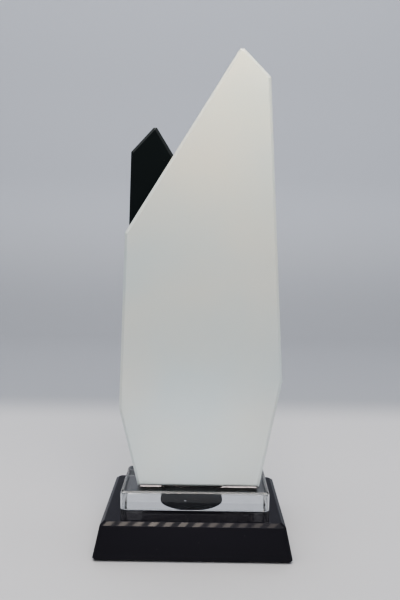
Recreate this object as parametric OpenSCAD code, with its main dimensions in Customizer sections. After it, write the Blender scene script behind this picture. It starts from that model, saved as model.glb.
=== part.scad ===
// Bonded crystal award: a white and a black slab standing back to back on a
// clear plinth, which is bonded to a black base with sloping sides.
// Origin: middle of the underside. +Z is up, and the white slab faces -Y.

/* [Base] */
// Width of the black base along its bottom edge
base_bottom_w = 106; // [96:1:140]
// Depth of the black base along its bottom edge
base_bottom_d = 78; // [66:1:100]
// How far each side leans in over the height of the base
base_lean = 4; // [0:0.5:8]
// Height of the black base
base_h = 19; // [12:0.5:40]
// Polished bevel around the top of the base
base_bevel = 1.8; // [0.5:0.1:3]
// Small bevel around the bottom of the base
base_foot_bevel = 0.8; // [0.3:0.1:2]
// Flat ground on each upright corner of the base
base_corner = 1.2; // [0.4:0.1:3]

/* [Base pad] */
// Thickness of the soft pad under the base
pad_thick = 0.8; // [0.5:0.1:3]
// How far the pad stays in from the edge of the base
pad_inset = 3; // [2:0.5:8]
// Radius of the pad's corners
pad_corner_r = 4; // [1:0.5:8]

/* [Plinth] */
// Width of the clear plinth
plinth_w = 82; // [76:1:92]
// Depth of the clear plinth
plinth_d = 41; // [30:1:60]
// Thickness of the clear plinth
plinth_h = 11; // [6:0.5:25]
// Polished bevel on the plinth's edges
plinth_bevel = 0.9; // [0.3:0.1:2]
// Sideways place of the plinth's middle on the base
plinth_x = 0.8; // [-3:0.1:3]

/* [Slabs] */
// Thickness of the white slab
white_thick = 13.5; // [8:0.5:18]
// Thickness of the black slab
black_thick = 13.5; // [8:0.5:18]
// Polished bevel around both faces of a slab
slab_bevel = 1.6; // [0.5:0.1:2.5]
// Width of a slab where it stands on the plinth
slab_foot_w = 68; // [56:1:76]
// Sideways place of the slabs' middle on the plinth
slab_x = 1.8; // [-3:0.1:3]
// Angle of the long slope below each peak
long_slope = 58; // [50:1:64]

/* [White slab outline] */
// Height of the white slab, to the flat on its peak
white_h = 238; // [200:1:300]
// Distance of the white peak from the middle
white_peak_x = 20; // [5:0.5:30]
// Depth of the flat ground on the white peak
white_peak_flat = 1.4; // [0.5:0.1:3]
// Angle of the short slope below the white peak
white_short_slope = 45; // [35:1:55]
// Distance of the short side's shoulder from the middle
white_short_x = 35.7; // [32:0.1:40]
// Distance of the short side's waist from the middle
white_short_waist_x = 45.6; // [40:0.1:50]
// Height of the short side's waist
white_short_waist_z = 60; // [30:1:90]
// Distance of the long side's shoulder from the middle
white_long_x = 41.5; // [36:0.1:46]
// Distance of the long side's waist from the middle
white_long_waist_x = 44.6; // [40:0.1:50]
// Height of the long side's waist
white_long_waist_z = 44; // [30:1:80]

/* [Black slab outline] */
// Height of the black slab, to the flat on its peak
black_h = 199.1; // [160:0.1:230]
// Distance of the black peak from the middle
black_peak_x = 26.2; // [15:0.1:32]
// Depth of the flat ground on the black peak
black_peak_flat = 1.1; // [0.5:0.1:3]
// Angle of the short slope below the black peak
black_short_slope = 47; // [35:1:55]
// Distance of the short side's shoulder from the middle
black_short_x = 39.7; // [36:0.1:42]
// Distance of the short side's waist from the middle
black_short_waist_x = 43; // [40:0.1:48]
// Height of the short side's waist
black_short_waist_z = 60; // [30:1:90]
// Distance of the long side's shoulder from the middle
black_long_x = 40.5; // [36:0.1:44]
// Distance of the long side's waist from the middle
black_long_waist_x = 43.5; // [40:0.1:50]
// Height of the long side's waist
black_long_waist_z = 44; // [30:1:60]

/* [Adhesive] */
// Thickness of the adhesive film between plinth and base
base_film = 0.2; // [0.1:0.05:0.5]
// How far the round adhesive puddle stays in from the plinth's front and back
puddle_margin = 2.8; // [0.5:0.1:8]
// Sideways place of the puddle on the plinth
puddle_x = -2.2; // [-6:0.2:6]
// Thickness of the adhesive film under each slab
foot_film = 0.3; // [0.1:0.05:0.5]
// Height of the adhesive bead along the foot of a slab
bead_h = 0.8; // [0.4:0.1:1.2]
// Reach of the adhesive bead in front of the slab's bottom edge
bead_reach = 1.2; // [0.6:0.1:1.8]
// Thickness of the adhesive film between the two slabs
back_film = 0.3; // [0.1:0.05:0.5]
// How far the adhesive film between the slabs stays in from the sides of their foot
back_film_margin = 6; // [2:0.5:15]
// Height of the adhesive film between the two slabs
back_film_h = 76; // [30:1:84]
// How far the adhesive film between the slabs starts above their foot
back_film_lift = 6; // [3:1:15]

/* [Hidden] */
$fn = 96;

// Levels, from the table up
base_z = pad_thick;
base_top_z = base_z + base_h;
plinth_z = base_top_z + base_film;
plinth_top_z = plinth_z + plinth_h;
slab_z = plinth_top_z + foot_film;

// The pair of slabs stands in the middle of the plinth's depth
pair_thick = white_thick + back_film + black_thick;
white_face_y = -pair_thick / 2;
black_face_y = white_face_y + white_thick + back_film;
column_x = plinth_x + slab_x;

puddle_r = plinth_d / 2 - puddle_margin;
// Shortest edge left between two bevels
least_edge = 0.1;
back_film_w = slab_foot_w - 2 * back_film_margin;

// A rectangle with cut corners, as a ring of points at one height
function cut_rectangle(w, d, cut, z) = [
    for (corner = [[1, -1], [1, 1], [-1, 1], [-1, -1]])
        for (end = corner[0] * corner[1] < 0 ? [0, 1] : [1, 0])
            [corner[0] * (w / 2 - (end == 0 ? cut : 0)),
             corner[1] * (d / 2 - (end == 0 ? 0 : cut)), z]
];

// A convex outline, counter-clockwise, moved in by a distance on every side
function unit(v) = v / norm(v);
function left_of(v) = [-v[1], v[0]];
function moved_in(outline, distance) = let (n = len(outline)) [
    for (i = [0 : n - 1])
        let (
            before = left_of(unit(outline[i] - outline[(i + n - 1) % n])),
            after = left_of(unit(outline[(i + 1) % n] - outline[i]))
        )
        outline[i] + (before + after) * distance / (1 + before * after)
];

// A solid with flat sides through rings of points, first ring lowest or farthest back
module through_rings(rings) {
    count = len(rings[0]);
    last = (len(rings) - 1) * count;
    polyhedron(
        points = [for (ring = rings) each ring],
        faces = concat(
            [[for (i = [0 : count - 1]) i]],
            [for (level = [0 : count : last - 1]) for (i = [0 : count - 1])
                let (next = (i + 1) % count)
                [level + next, level + i, level + count + i, level + count + next]],
            [[for (i = [count - 1 : -1 : 0]) last + i]]
        )
    );
}

// Half the width and depth taken off by the lean at a height within the base
function lean_at(height) = base_lean * height / base_h;
function base_ring(height, inset) = cut_rectangle(
    base_bottom_w - 2 * (lean_at(height) + inset),
    base_bottom_d - 2 * (lean_at(height) + inset),
    base_corner, base_z + height
);

// A peaked outline, counter-clockwise from the foot on the peak's side.
// side is 1 with the peak on the right, and -1 on the left. peak holds the peak's
// sideways place, the depth of its flat and the angle of the short slope. The flat is
// never too small for the bevel around the face to keep an edge along it.
function peaked_outline(side, h, peak, short_x, short_waist, long_x, long_waist) =
    let (
        peak_x = peak[0],
        short_slope = peak[2],
        spread = 1 / tan(short_slope) + 1 / tan(long_slope),
        bevel_share = slab_bevel * (tan(short_slope / 2) + tan(long_slope / 2)),
        flat = max(peak[1], (bevel_share + least_edge) / spread),
        peak_z = h + flat,
        run_short = flat / tan(short_slope),
        run_long = flat / tan(long_slope),
        points = [
            [slab_foot_w / 2, 0],
            short_waist,
            [short_x, peak_z - (short_x - peak_x) * tan(short_slope)],
            [peak_x + run_short, h],
            [peak_x - run_long, h],
            [-long_x, peak_z - (long_x + peak_x) * tan(long_slope)],
            long_waist,
            [-slab_foot_w / 2, 0]
        ],
        n = len(points)
    )
    side > 0 ? points : [for (i = [n - 1 : -1 : 0]) [-points[i][0], points[i][1]]];

// A standing slab, bevelled around both faces
module slab(outline, face_y, thick) {
    face = moved_in(outline, slab_bevel);
    steps = [[face, thick], [outline, thick - slab_bevel], [outline, slab_bevel], [face, 0]];
    translate([column_x, face_y, slab_z])
        through_rings([for (step = steps) [for (p = step[0]) [p[0], step[1], p[1]]]]);
}

white_outline = peaked_outline(1, white_h,
    [white_peak_x, white_peak_flat, white_short_slope],
    white_short_x, [white_short_waist_x, white_short_waist_z],
    white_long_x, [-white_long_waist_x, white_long_waist_z]);
black_outline = peaked_outline(-1, black_h,
    [black_peak_x, black_peak_flat, black_short_slope],
    black_short_x, [black_short_waist_x, black_short_waist_z],
    black_long_x, [-black_long_waist_x, black_long_waist_z]);

module base() {
    color([0.07, 0.07, 0.08]) through_rings([
        base_ring(0, base_foot_bevel),
        base_ring(base_foot_bevel, 0),
        base_ring(base_h - base_bevel, 0),
        base_ring(base_h, base_bevel)
    ]);
}

module base_pad() {
    side_w = base_bottom_w - 2 * pad_inset;
    side_d = base_bottom_d - 2 * pad_inset;
    color([0.12, 0.12, 0.12]) union() {
        translate([-side_w / 2 + pad_corner_r, -side_d / 2, 0])
            cube([side_w - 2 * pad_corner_r, side_d, pad_thick]);
        translate([-side_w / 2, -side_d / 2 + pad_corner_r, 0])
            cube([side_w, side_d - 2 * pad_corner_r, pad_thick]);
        for (x = [-1, 1], y = [-1, 1])
            translate([x * (side_w / 2 - pad_corner_r), y * (side_d / 2 - pad_corner_r), 0])
                cylinder(r = pad_corner_r, h = pad_thick);
    }
}

module plinth() {
    color([0.85, 0.88, 0.9, 0.5]) translate([plinth_x, 0, 0]) through_rings([
        cut_rectangle(plinth_w - 2 * plinth_bevel, plinth_d - 2 * plinth_bevel,
            plinth_bevel, plinth_z),
        cut_rectangle(plinth_w, plinth_d, plinth_bevel, plinth_z + plinth_bevel),
        cut_rectangle(plinth_w, plinth_d, plinth_bevel, plinth_top_z - plinth_bevel),
        cut_rectangle(plinth_w - 2 * plinth_bevel, plinth_d - 2 * plinth_bevel,
            plinth_bevel, plinth_top_z)
    ]);
}

module white_slab() {
    color([0.93, 0.93, 0.92]) slab(white_outline, white_face_y, white_thick);
}

module black_slab() {
    color([0.06, 0.06, 0.07]) slab(black_outline, black_face_y, black_thick);
}

module adhesive_base() {
    color([0.8, 0.82, 0.8]) translate([plinth_x + puddle_x, 0, base_top_z])
        cylinder(r = puddle_r, h = base_film);
}

// The film under a slab's flat foot, with a bead that fills the foot of its outer
// bevel. outer is -1 where that bevel faces -Y, and 1 where it faces +Y.
module foot_adhesive(face_y, thick, outer) {
    flat_w = slab_foot_w - 2 * slab_bevel;
    flat_d = thick - 2 * slab_bevel;
    climb = bead_h - foot_film;
    color([0.8, 0.82, 0.8]) translate([column_x, face_y + thick / 2, plinth_top_z])
        rotate([90, 0, 90]) translate([0, 0, -flat_w / 2]) linear_extrude(flat_w)
            polygon([
                [outer * (flat_d / 2 + bead_reach), 0],
                [outer * (flat_d / 2 + climb), bead_h],
                [outer * flat_d / 2, foot_film],
                [-outer * flat_d / 2, foot_film],
                [-outer * flat_d / 2, 0]
            ]);
}

module adhesive_white_foot() {
    foot_adhesive(white_face_y, white_thick, -1);
}

module adhesive_black_foot() {
    foot_adhesive(black_face_y, black_thick, 1);
}

module adhesive_between_slabs() {
    color([0.8, 0.82, 0.8])
        translate([column_x - back_film_w / 2, black_face_y - back_film, slab_z + back_film_lift])
            cube([back_film_w, back_film, back_film_h]);
}

base();
base_pad();
plinth();
white_slab();
black_slab();
adhesive_base();
adhesive_white_foot();
adhesive_black_foot();
adhesive_between_slabs();
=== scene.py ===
import math
import random

import bmesh
import bpy
from mathutils import Matrix, Vector, noise


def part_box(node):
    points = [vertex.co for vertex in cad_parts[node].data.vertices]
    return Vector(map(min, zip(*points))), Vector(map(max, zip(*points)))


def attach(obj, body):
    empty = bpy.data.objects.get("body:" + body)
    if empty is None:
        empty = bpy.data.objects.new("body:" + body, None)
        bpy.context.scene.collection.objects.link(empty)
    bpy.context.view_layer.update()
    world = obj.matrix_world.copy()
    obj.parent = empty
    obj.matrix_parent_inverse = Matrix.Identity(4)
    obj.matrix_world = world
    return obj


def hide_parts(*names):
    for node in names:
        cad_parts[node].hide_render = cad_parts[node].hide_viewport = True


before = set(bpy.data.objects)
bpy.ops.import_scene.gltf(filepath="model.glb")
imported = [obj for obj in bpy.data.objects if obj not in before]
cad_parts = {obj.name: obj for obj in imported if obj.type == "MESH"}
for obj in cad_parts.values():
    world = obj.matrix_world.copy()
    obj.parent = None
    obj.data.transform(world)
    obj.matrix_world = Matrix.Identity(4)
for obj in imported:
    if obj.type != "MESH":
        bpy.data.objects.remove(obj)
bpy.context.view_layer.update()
mm = 0.001
print("frame loaded:", ", ".join(sorted(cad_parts)))


# sRGB hex to the linear colour that a shader socket takes
def linear(hexColour):
    parts = [int(hexColour[i:i + 2], 16) / 255 for i in (0, 2, 4)]
    return [p / 12.92 if p <= 0.04045 else ((p + 0.055) / 1.055) ** 2.4 for p in parts] + [1]


# One node: settings are its sockets by name or number, or its properties,
# and links join sockets of earlier nodes to it
def addNode(tree, kind, settings=None, links=None):
    node = tree.nodes.new("ShaderNode" + kind)
    for name, value in (settings or {}).items():
        if isinstance(name, int) or name in node.inputs:
            node.inputs[name].default_value = value
        else:
            setattr(node, name, value)
    for name, source in (links or {}).items():
        tree.links.new(source, node.inputs[name])
    return node


# An empty node material, its tree, and the place in the object that patterns follow
def newMaterial(name):
    material = bpy.data.materials.new(name)
    material.use_nodes = True
    material.node_tree.nodes.clear()
    tree = material.node_tree
    return material, tree, addNode(tree, "TexCoord").outputs["Object"]


# The scale of a pattern whose features are size millimetres across
def patternScale(size):
    return 1 / (size * mm)


# Milk-white opal crystal, ground flat and polished. It looks solid white with soft
# clouds a few centimetres across, and light creeps round its bevels.
milkCrystalLook = {
    "coolWhite": "ced9dc",
    "warmWhite": "d8dcd9",
    "cloudSize": 60,
    "cloudLow": 0.35,
    "cloudHigh": 0.65,
    "mottleSize": 14,
    "mottleLow": 0.3,
    "mottleHigh": 0.7,
    "scatterShare": 0.6,
    "scatterDepth": 1.0,
    "polish": 0.12,
    "dullPolish": 0.2,
}


def milkCrystal():
    look = milkCrystalLook
    material, tree, place = newMaterial("milkWhiteCrystal")
    clouds = addNode(tree, "TexNoise", {
        "Scale": patternScale(look["cloudSize"]), "Detail": 1.5,
    }, {"Vector": place})
    cloudy = addNode(tree, "MapRange", {
        "From Min": look["cloudLow"], "From Max": look["cloudHigh"],
    }, {"Value": clouds.outputs["Fac"]})
    tint = addNode(tree, "Mix", {
        "data_type": "RGBA", 6: linear(look["coolWhite"]), 7: linear(look["warmWhite"]),
    }, {0: cloudy.outputs["Result"]})
    mottle = addNode(tree, "TexNoise", {
        "Scale": patternScale(look["mottleSize"]), "Detail": 3,
    }, {"Vector": place})
    polish = addNode(tree, "MapRange", {
        "From Min": look["mottleLow"], "From Max": look["mottleHigh"],
        "To Min": look["polish"], "To Max": look["dullPolish"],
    }, {"Value": mottle.outputs["Fac"]})
    shader = addNode(tree, "BsdfPrincipled", {
        "IOR": 1.52,
        "Subsurface Weight": look["scatterShare"],
        "Subsurface Radius": (1.0, 1.0, 0.95),
        "Subsurface Scale": look["scatterDepth"] * mm,
    }, {"Base Color": tint.outputs[2], "Roughness": polish.outputs["Result"]})
    addNode(tree, "OutputMaterial", links={"Surface": shader.outputs[0]})
    return material


# Black crystal glass, ground and polished. It mirrors the room faintly, and shows
# fine dust and a trace of wiping.
blackCrystalLook = {
    "baseBody": "2b2a30",
    "slabBody": "1c2326",
    "dust": "6d6c6a",
    "dustSpacing": 5,
    "dustSize": 0.16,
    "dustCore": 0.6,
    "wipeSize": 25,
    "wipeLow": 0.4,
    "wipeHigh": 0.7,
    "polish": 0.01,
    "wipedPolish": 0.05,
    "baseMirror": 0.15,
    "slabMirror": 0.4,
}


def blackCrystal(name, bodyColour, mirror):
    look = blackCrystalLook
    material, tree, place = newMaterial(name)
    speck = addNode(tree, "TexVoronoi", {
        "Scale": patternScale(look["dustSpacing"]), "Randomness": 1.0,
    }, {"Vector": place})
    dustReach = look["dustSize"] / look["dustSpacing"]
    dusty = addNode(tree, "MapRange", {
        "From Min": dustReach * look["dustCore"], "From Max": dustReach,
        "To Min": 1, "To Max": 0,
    }, {"Value": speck.outputs["Distance"]})
    body = addNode(tree, "Mix", {
        "data_type": "RGBA", 6: linear(bodyColour), 7: linear(look["dust"]),
    }, {0: dusty.outputs["Result"]})
    wipes = addNode(tree, "TexNoise", {
        "Scale": patternScale(look["wipeSize"]), "Detail": 4, "Roughness": 0.6,
    }, {"Vector": place})
    polish = addNode(tree, "MapRange", {
        "From Min": look["wipeLow"], "From Max": look["wipeHigh"],
        "To Min": look["polish"], "To Max": look["wipedPolish"],
    }, {"Value": wipes.outputs["Fac"]})
    shader = addNode(tree, "BsdfPrincipled", {
        "IOR": 1.52, "Specular IOR Level": mirror,
    }, {"Base Color": body.outputs[2], "Roughness": polish.outputs["Result"]})
    addNode(tree, "OutputMaterial", links={"Surface": shader.outputs[0]})
    return material


# Clear optical crystal, polished on its large faces. It is almost colourless, and its
# polish is very slightly wavy. Its ends and chamfers are only satin, so they read as
# pale lines around the block.
clearCrystalLook = {
    "tint": "fdfdfb",
    "waveSize": 9,
    "waveHeight": 0.004,
    "chamfer": 0.9,
    "chamferBlend": 0.1,
    "satin": 0.25,
    "satinClarity": 0.85,
}


def clearCrystal():
    look = clearCrystalLook
    material, tree, place = newMaterial("clearOpticalCrystal")
    waves = addNode(tree, "TexNoise", {
        "Scale": patternScale(look["waveSize"]), "Detail": 1,
    }, {"Vector": place})
    bump = addNode(tree, "Bump", {"Strength": 1.0, "Distance": look["waveHeight"] * mm},
                   {"Height": waves.outputs["Fac"]})
    low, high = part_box("plinth")
    middle, half = (low + high) / 2, (high - low) / 2
    sides = addNode(tree, "SeparateXYZ", links={"Vector": place})
    nearEdge = []
    for axis in range(3):
        offset = addNode(tree, "Math", {"operation": "SUBTRACT", 1: middle[axis]},
                         {0: sides.outputs[axis]})
        reach = addNode(tree, "Math", {"operation": "ABSOLUTE"}, {0: offset.outputs[0]})
        start = half[axis] - look["chamfer"] * mm
        near = addNode(tree, "MapRange", {
            "From Min": start - look["chamferBlend"] * mm, "From Max": start,
        }, {"Value": reach.outputs[0]})
        nearEdge.append(near.outputs["Result"])
    longEdge = addNode(tree, "Math", {"operation": "MINIMUM"},
                       {0: nearEdge[1], 1: nearEdge[2]})
    ground = addNode(tree, "Math", {"operation": "MAXIMUM"},
                     {0: nearEdge[0], 1: longEdge.outputs[0]})
    satin = addNode(tree, "MapRange", {"To Max": look["satin"]},
                    {"Value": ground.outputs[0]})
    clarity = addNode(tree, "MapRange", {"To Min": 1, "To Max": look["satinClarity"]},
                      {"Value": ground.outputs[0]})
    shader = addNode(tree, "BsdfPrincipled", {
        "Base Color": linear(look["tint"]),
        "IOR": 1.517,
    }, {
        "Roughness": satin.outputs["Result"],
        "Transmission Weight": clarity.outputs["Result"],
        "Normal": bump.outputs["Normal"],
    })
    addNode(tree, "OutputMaterial", links={"Surface": shader.outputs[0]})
    return material


# Clear UV-cured acrylic adhesive: as clear as the crystal, with a soft wavy skin
adhesiveLook = {"tint": "dccfcb", "skinSize": 1.2, "skinHeight": 0.01}


def clearAdhesive():
    look = adhesiveLook
    material, tree, place = newMaterial("curedClearAdhesive")
    skin = addNode(tree, "TexNoise", {"Scale": patternScale(look["skinSize"])},
                   {"Vector": place})
    bump = addNode(tree, "Bump", {"Strength": 1.0, "Distance": look["skinHeight"] * mm},
                   {"Height": skin.outputs["Fac"]})
    shader = addNode(tree, "BsdfPrincipled", {
        "Base Color": linear(look["tint"]),
        "Roughness": 0.02,
        "IOR": 1.5,
        "Transmission Weight": 1.0,
    }, {"Normal": bump.outputs["Normal"]})
    addNode(tree, "OutputMaterial", links={"Surface": shader.outputs[0]})
    return material


# The same adhesive where it wets the black base. It lets no light back, so the eye
# sees the black glass through it. Towards the back of the puddle it is painted greyer:
# a painted reflection of the table in the plinth's front face, not a tone of the glue.
# It lies against the plinth and has hardly any gloss of its own, hence the low IOR.
# front is the black glass seen through the adhesive; back is the grey of the painted
# reflection
wetBlackLook = {"front": "1c1d22", "back": "41464e", "grainSize": 0.8, "grain": 0.12}


def adhesiveOverBlack(lowY, highY):
    look = wetBlackLook
    material, tree, place = newMaterial("curedAdhesiveOverBlackWithPaintedReflection")
    along = addNode(tree, "SeparateXYZ", links={"Vector": place})
    grain = addNode(tree, "TexNoise", {
        "Scale": patternScale(look["grainSize"]), "Detail": 3,
    }, {"Vector": place})
    # The ramp from the front colour to the back colour along Y is painted reflection; the
    # grain adds random tone to it
    paintedReflectionRamp = addNode(tree, "MapRange", {"From Min": lowY, "From Max": highY},
                    {"Value": along.outputs["Y"]})
    shade = addNode(tree, "Math", {
        "operation": "MULTIPLY_ADD", 1: look["grain"], 2: -look["grain"] / 2,
    }, {0: grain.outputs["Fac"]})
    mixed = addNode(tree, "Math", {"operation": "ADD", "use_clamp": True},
                    {0: paintedReflectionRamp.outputs["Result"], 1: shade.outputs[0]})
    colour = addNode(tree, "Mix", {
        "data_type": "RGBA", 6: linear(look["front"]), 7: linear(look["back"]),
    }, {0: mixed.outputs[0]})
    shader = addNode(tree, "BsdfPrincipled", {"Roughness": 0.12, "IOR": 1.08},
                     {"Base Color": colour.outputs[2]})
    addNode(tree, "OutputMaterial", links={"Surface": shader.outputs[0]})
    return material


# Black EVA foam sheet, die-cut: dull, with the fine open cells of its skin
foamLook = {"body": "1b1b1c", "cellSize": 0.5, "cellDepth": 0.12}


def foamSheet():
    look = foamLook
    material, tree, place = newMaterial("blackFoamSheet")
    cells = addNode(tree, "TexVoronoi", {"Scale": patternScale(look["cellSize"])},
                    {"Vector": place})
    bump = addNode(tree, "Bump", {"Strength": 0.6, "Distance": look["cellDepth"] * mm},
                   {"Height": cells.outputs["Distance"]})
    shader = addNode(tree, "BsdfPrincipled", {
        "Base Color": linear(look["body"]), "Roughness": 0.85,
    }, {"Normal": bump.outputs["Normal"]})
    addNode(tree, "OutputMaterial", links={"Surface": shader.outputs[0]})
    return material


milk = milkCrystal()
baseBlack = blackCrystal("polishedBlackCrystal", blackCrystalLook["baseBody"],
                         blackCrystalLook["baseMirror"])
slabBlack = blackCrystal("polishedJetCrystal", blackCrystalLook["slabBody"],
                         blackCrystalLook["slabMirror"])
clear = clearCrystal()
adhesive = clearAdhesive()
foam = foamSheet()
print("materials made")


# A flat-shaded piece that stands for a CAD node and takes its finish from a slot
def newPiece(name, bm, material, nodeName):
    mesh = bpy.data.meshes.new(name)
    for face in bm.faces:
        face.smooth = False
    bm.to_mesh(mesh)
    bm.free()
    piece = bpy.data.objects.new(name, mesh)
    bpy.context.scene.collection.objects.link(piece)
    mesh.materials.append(material)
    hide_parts(nodeName)
    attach(piece, "root")
    return piece


# Hairline rounds on the blocks' edges, in millimetres. Before they are cut, corners
# closer than weld are merged, and so are faces that meet at less than flatAngle degrees.
edgeRounds = {"base": 0.2, "plinth": 0.12, "slab": 0.15, "weld": 0.001, "flatAngle": 0.5}


# A crystal block as it leaves the polisher: the sharp edges between its flats are
# broken by a hairline round
def polishedBlock(name, nodeName, material, edgeWidth):
    bm = bmesh.new()
    bm.from_mesh(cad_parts[nodeName].data)
    bmesh.ops.remove_doubles(bm, verts=bm.verts, dist=edgeRounds["weld"] * mm)
    bmesh.ops.dissolve_limit(bm, angle_limit=math.radians(edgeRounds["flatAngle"]),
                             verts=bm.verts, edges=bm.edges)
    bmesh.ops.bevel(bm, geom=bm.edges, offset=edgeWidth * mm, offset_type="OFFSET",
                    affect="EDGES", segments=2, profile=0.5, material=-1)
    bmesh.ops.recalc_face_normals(bm, faces=bm.faces)
    return newPiece(name, bm, material, nodeName)


polishedBlock("polishedBase", "base", baseBlack,
              edgeRounds["base"])
polishedBlock("polishedPlinth", "plinth", clear, edgeRounds["plinth"])
polishedBlock("polishedWhiteSlab", "white_slab", milk, edgeRounds["slab"])
polishedBlock("polishedBlackSlab", "black_slab", slabBlack,
              edgeRounds["slab"])
for nodeName, material in (("base_pad", foam), ("adhesive_between_slabs", adhesive)):
    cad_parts[nodeName].data.materials.clear()
    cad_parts[nodeName].data.materials.append(material)
print("crystal blocks polished")

# The puddle of adhesive that joins plinth and base. It bites a hair into the plinth,
# so that the plinth shows it as wetted glass, and it has a few trapped bubbles.
# Its front is round; towards the back it ran out wide, almost to the plinth's edge.
puddleLook = {
    "bite": 0.03,
    "halfWidth": 17.7,
    "middleBack": 5.5,
    "backReach": 13.7,
    "backSquareness": 10.0,
    "edgeWaver": 0.3,
    "waverScale": 2.3,
    "bubbles": ((-3.4, 2.8, 0.8), (2.6, 6.5, 0.35), (9.4, -2.2, 0.3), (-9.0, 5.6, 0.4)),
    "points": 128,
    "bubblePoints": 16,
}


def gluePuddle():
    look = puddleLook
    low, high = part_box("adhesive_base")
    middle = (low + high) / 2
    frontReach = (high.y - low.y) / 2 / mm + look["middleBack"]
    topZ = high.z + look["bite"] * mm
    square = look["backSquareness"]
    bm = bmesh.new()
    bmesh.ops.create_circle(bm, segments=look["points"], radius=1)
    for vert in bm.verts:
        across, along = vert.co.x, vert.co.y
        sway = noise.noise(vert.co * look["waverScale"])
        waver = 1 + look["edgeWaver"] * sway / look["halfWidth"]
        if along > 0:
            stretch = (abs(across) ** square + along ** square) ** (-1 / square)
            across, along = across * stretch, along * stretch
        reach = look["backReach"] if along > 0 else frontReach
        vert.co = (middle.x + across * waver * look["halfWidth"] * mm,
                   middle.y + (look["middleBack"] + along * waver * reach) * mm, topZ)
    for x, y, size in look["bubbles"]:
        place = Matrix.Translation((middle.x + x * mm, middle.y + y * mm, topZ))
        bmesh.ops.create_circle(bm, segments=look["bubblePoints"], radius=size * mm,
                                matrix=place)
    bmesh.ops.triangle_fill(bm, use_beauty=True, use_dissolve=False, edges=bm.edges)
    bmesh.ops.recalc_face_normals(bm, faces=bm.faces)
    if bm.faces[0].normal.z < 0:
        bmesh.ops.reverse_faces(bm, faces=bm.faces)
    made = bmesh.ops.extrude_face_region(bm, geom=bm.faces[:], use_keep_orig=True)
    for item in made["geom"]:
        if isinstance(item, bmesh.types.BMVert):
            item.co.z = low.z
    bmesh.ops.recalc_face_normals(bm, faces=bm.faces)
    return newPiece("gluePuddle", bm, adhesiveOverBlack(low.y, high.y), "adhesive_base")


gluePuddle()

# The film under a slab, and the bead that squeezed out along its foot. The belly is
# how far in and how high the bead swells, between its toe and its rim.
beadLook = {
    "bite": 0.03,
    "tuck": 0.05,
    "belly": (0.5, 0.42),
    "rim": 0.9,
    "neck": 0.2,
    "step": 0.5,
    "waver": 0.18,
    "waverSize": 4.0,
    "waverBias": 0.5,
}


# outer is -1 where the bead lies in front of its slab, and 1 where it lies behind
def glueBead(name, nodeName, slabName, outer):
    look = beadLook
    low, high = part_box(nodeName)
    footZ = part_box(slabName)[0].z + look["tuck"] * mm
    underZ = low.z - look["bite"] * mm
    toe, back = (low.y, high.y) if outer < 0 else (high.y, low.y)
    bellyIn, bellyUp = look["belly"]
    rim = toe - outer * look["rim"] * mm
    profile = [
        (back, underZ), (toe, underZ), (toe, low.z),
        (toe - outer * bellyIn * mm, low.z + bellyUp * mm),
        (rim, high.z), (rim - outer * look["neck"] * mm, footZ), (back, footZ),
    ]
    bm = bmesh.new()
    ring = [bm.verts.new((low.x, y, z)) for y, z in profile]
    edges = [bm.edges.new((ring[i], ring[(i + 1) % len(ring)])) for i in range(len(ring))]
    bmesh.ops.contextual_create(bm, geom=edges)
    steps = round((high.x - low.x) / (look["step"] * mm))
    for i in range(steps):
        made = bmesh.ops.extrude_edge_only(bm, edges=edges)
        edges = [item for item in made["geom"] if isinstance(item, bmesh.types.BMEdge)]
        verts = {vert for edge in edges for vert in edge.verts}
        bmesh.ops.translate(bm, verts=list(verts), vec=((high.x - low.x) / steps, 0, 0))
    bmesh.ops.contextual_create(bm, geom=edges)
    for vert in bm.verts:
        reach = (vert.co.y - rim) * outer / mm
        if reach > 0:
            sway = noise.noise(Vector((vert.co.x / (look["waverSize"] * mm), outer, 0)))
            pull = look["waver"] * max(0, look["waverBias"] + sway) * reach
            vert.co.y -= outer * pull * mm
    bmesh.ops.recalc_face_normals(bm, faces=bm.faces)
    return newPiece(name, bm, adhesive, nodeName)


glueBead("glueBeadWhite", "adhesive_white_foot", "white_slab", -1)
glueBead("glueBeadBlack", "adhesive_black_foot", "black_slab", 1)
print("adhesive laid")

# The stage, in metres: a pale table that runs up into a wall, which stands far enough
# back to walk round the award. Where the table ends, the low cove is painted darker as
# painted shade, fading to the wall's own tone as it rises. The paper's fibres are in
# millimetres.
stageLook = {
    "table": "d1d0d1",
    "foot": "a9abb0",
    "wall": "d4d7de",
    "tableEnd": 0.22,
    "blend": 0.10,
    "front": -1.6,
    "back": 0.72,
    "cove": 0.3,
    "coveSteps": 24,
    "wallTop": 2.2,
    "halfWidth": 2.2,
    "fibreSize": 1.5,
    "fibreHeight": 0.05,
}


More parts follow.
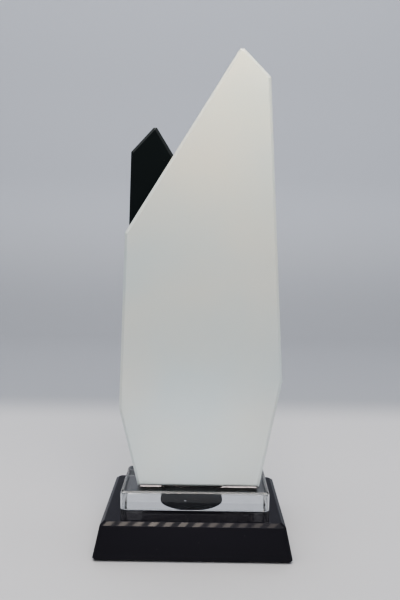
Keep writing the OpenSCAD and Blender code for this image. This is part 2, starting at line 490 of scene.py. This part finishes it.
def buildStage():
    look = stageLook
    bm = bmesh.new()
    start = bm.verts.new((-look["halfWidth"], look["front"], 0))
    end = bm.verts.new((-look["halfWidth"], look["back"], 0))
    bm.edges.new((start, end))
    bmesh.ops.spin(bm, geom=[end], cent=(-look["halfWidth"], look["back"], look["cove"]),
                   axis=(1, 0, 0), angle=math.radians(90), steps=look["coveSteps"],
                   use_duplicate=False)
    bm.verts.ensure_lookup_table()
    top = max(bm.verts, key=lambda vert: (vert.co.z, vert.co.y))
    made = bmesh.ops.extrude_vert_indiv(bm, verts=[top])
    made["verts"][0].co.z = look["wallTop"]
    made = bmesh.ops.extrude_edge_only(bm, edges=bm.edges[:])
    side = [item for item in made["geom"] if isinstance(item, bmesh.types.BMVert)]
    bmesh.ops.translate(bm, verts=side, vec=(2 * look["halfWidth"], 0, 0))
    bmesh.ops.recalc_face_normals(bm, faces=bm.faces)
    for face in bm.faces:
        face.smooth = True
    mesh = bpy.data.meshes.new("stageSweep")
    bm.to_mesh(mesh)
    bm.free()
    sweep = bpy.data.objects.new("stageSweep", mesh)
    bpy.context.scene.collection.objects.link(sweep)
    material, tree, place = newMaterial("matteStagePaper")
    sides = addNode(tree, "SeparateXYZ", links={"Vector": place})
    far = addNode(tree, "MapRange", {
        "interpolation_type": "SMOOTHSTEP",
        "From Min": look["tableEnd"], "From Max": look["tableEnd"] + look["blend"],
    }, {"Value": sides.outputs["Y"]}).outputs["Result"]
    up = addNode(tree, "MapRange", {
        "interpolation_type": "SMOOTHSTEP",
        "From Min": 0.0, "From Max": look["cove"],
    }, {"Value": sides.outputs["Z"]}).outputs["Result"]
    # The foot colour is painted shade on the low cove, blending up to the wall colour as the
    # cove rises
    behind = addNode(tree, "Mix", {
        "data_type": "RGBA", 6: linear(look["foot"]), 7: linear(look["wall"]),
    }, {0: up})
    tone = addNode(tree, "Mix", {"data_type": "RGBA", 6: linear(look["table"])},
                   {0: far, 7: behind.outputs[2]})
    fibre = addNode(tree, "TexNoise", {
        "Scale": patternScale(look["fibreSize"]), "Detail": 4,
    }, {"Vector": place})
    bump = addNode(tree, "Bump", {"Strength": 0.15, "Distance": look["fibreHeight"] * mm},
                   {"Height": fibre.outputs["Fac"]})
    shader = addNode(tree, "BsdfPrincipled", {"Roughness": 0.6, "Specular IOR Level": 0.3},
                     {"Base Color": tone.outputs[2], "Normal": bump.outputs["Normal"]})
    addNode(tree, "OutputMaterial", links={"Surface": shader.outputs[0]})
    mesh.materials.append(material)


buildStage()

# Soft studio light, in watts and metres. The strip of small lamps hangs above the
# front of the table, where the base's bevel mirrors it as a row of dots; its sizes
# are in millimetres. The lamps weaken on both sides of the brightest place, which is
# a share of the strip's length; a whole strip's length away, lampFade would be left.
lampLook = {
    "softboxes": (
        {"name": "ceilingSoftbox", "place": (-0.1, -0.2, 2.3), "aim": (0, 0, 0.05),
         "size": (2.0, 2.0), "power": 23, "colour": "fdfcfd"},
        {"name": "frontSoftbox", "place": (0.25, -1.5, 1.5), "aim": (0, 0, 0.15),
         "size": (1.2, 1.2), "power": 11.5, "colour": "f3f8ff"},
        {"name": "leftSoftbox", "place": (-1.4, 0.1, 1.5), "aim": (0, 0, 0.12),
         "size": (1.2, 1.2), "power": 2.8, "colour": "ffffff"},
        {"name": "rightSoftbox", "place": (1.4, 0.1, 1.5), "aim": (0, 0, 0.12),
         "size": (1.2, 1.2), "power": 2.4, "colour": "ffffff"},
        {"name": "rearSoftbox", "place": (0, 0.5, 0.85), "aim": (0, 0, 0.1),
         "size": (1.0, 0.6), "power": 1.0, "colour": "ffffff"},
        {"name": "topGlow", "place": (0.03, -0.134, 0.3), "aim": (0.02, 0, 0.3),
         "size": (0.1, 0.04), "power": 0.17, "colour": "ffe4b8", "mirrored": False},
        {"name": "tableBounce", "place": (0, -0.17, 0.035), "aim": (0, -0.014, 0.045),
         "size": (0.1, 0.02), "spread": 50, "power": 0.0075, "colour": "fff3ec",
         "mirrored": False},
    ),
    "stripLamps": 17,
    "stripSpacing": 16.7,
    "stripPlace": (2, -131, 408),
    "lampWidth": 6,
    "lampLength": 36,
    "lampSlant": -45,
    "lampColour": "fff2e2",
    "lampPower": 0.0082,
    "lampSeed": 5,
    "lampScatter": 0.15,
    "lampFade": 0.1,
    "brightest": 0.33,
    "roomColour": "c8cacd",
    "roomStrength": 0.36,
}


def addLamp(name, place, aim, size, power, colour, turn=0, spread=180, mirrored=True):
    lamp = bpy.data.lights.new(name, "AREA")
    lamp.shape = "RECTANGLE"
    lamp.size, lamp.size_y = size
    lamp.energy = power
    lamp.spread = math.radians(spread)
    lamp.color = linear(colour)[:3]
    holder = bpy.data.objects.new(name, lamp)
    facing = (Vector(aim) - Vector(place)).to_track_quat("-Z", "Y").to_matrix().to_4x4()
    holder.matrix_world = (Matrix.Translation(place) @ facing
                           @ Matrix.Rotation(math.radians(turn), 4, "Z"))
    holder.visible_camera = False
    holder.visible_glossy = mirrored
    holder.visible_transmission = mirrored
    bpy.context.scene.collection.objects.link(holder)


def buildLights():
    look = lampLook
    for box in look["softboxes"]:
        addLamp(box["name"], box["place"], box["aim"], box["size"], box["power"],
                box["colour"], spread=box.get("spread", 180),
                mirrored=box.get("mirrored", True))
    x, y, z = (value * mm for value in look["stripPlace"])
    last = look["stripLamps"] - 1
    scatter = random.Random(look["lampSeed"])
    for i in range(last + 1):
        lampX = x + (i - last / 2) * look["stripSpacing"] * mm
        power = look["lampPower"] * look["lampFade"] ** abs(i / last - look["brightest"])
        power *= 1 + look["lampScatter"] * scatter.uniform(-1, 1)
        addLamp("stripLamp" + str(i + 1), (lampX, y, z), (lampX, y, 0),
                (look["lampWidth"] * mm, look["lampLength"] * mm), power,
                look["lampColour"], turn=look["lampSlant"])
    world = bpy.data.worlds.new("paleRoom")
    world.use_nodes = True
    world.node_tree.nodes.clear()
    room = addNode(world.node_tree, "Background", {
        "Color": linear(look["roomColour"]), "Strength": look["roomStrength"],
    })
    addNode(world.node_tree, "OutputWorld", links={"Surface": room.outputs[0]})
    bpy.context.scene.world = world


buildLights()
print("stage and lights set")

# The camera stands in front, a little above the middle, and looks slightly down.
# Place in millimetres, angles in degrees, nearest and farthest view in metres.
cameraLook = {
    "place": (3.118, -359.764, 169.246),
    "turn": 0.151,
    "downTilt": 5.434,
    "roll": 0.731,
    "lens": 38.4,
    "sensor": 36,
    "nearest": 0.01,
    "farthest": 20,
}


def buildCamera():
    look = cameraLook
    camera = bpy.data.cameras.new("frontCamera")
    camera.sensor_fit = "VERTICAL"
    camera.sensor_height = look["sensor"]
    camera.sensor_width = look["sensor"]
    camera.lens = look["lens"]
    camera.clip_start = look["nearest"]
    camera.clip_end = look["farthest"]
    holder = bpy.data.objects.new("frontCamera", camera)
    bpy.context.scene.collection.objects.link(holder)
    holder.matrix_world = (
        Matrix.Translation([value * mm for value in look["place"]])
        @ Matrix.Rotation(math.radians(look["turn"]), 4, "Z")
        @ Matrix.Rotation(math.radians(90 - look["downTilt"]), 4, "X")
        @ Matrix.Rotation(math.radians(look["roll"]), 4, "Z")
    )
    bpy.context.scene.camera = holder


buildCamera()
bpy.context.scene.view_settings.view_transform = "AgX"
bpy.context.scene.view_settings.look = "AgX - High Contrast"
print("camera placed")
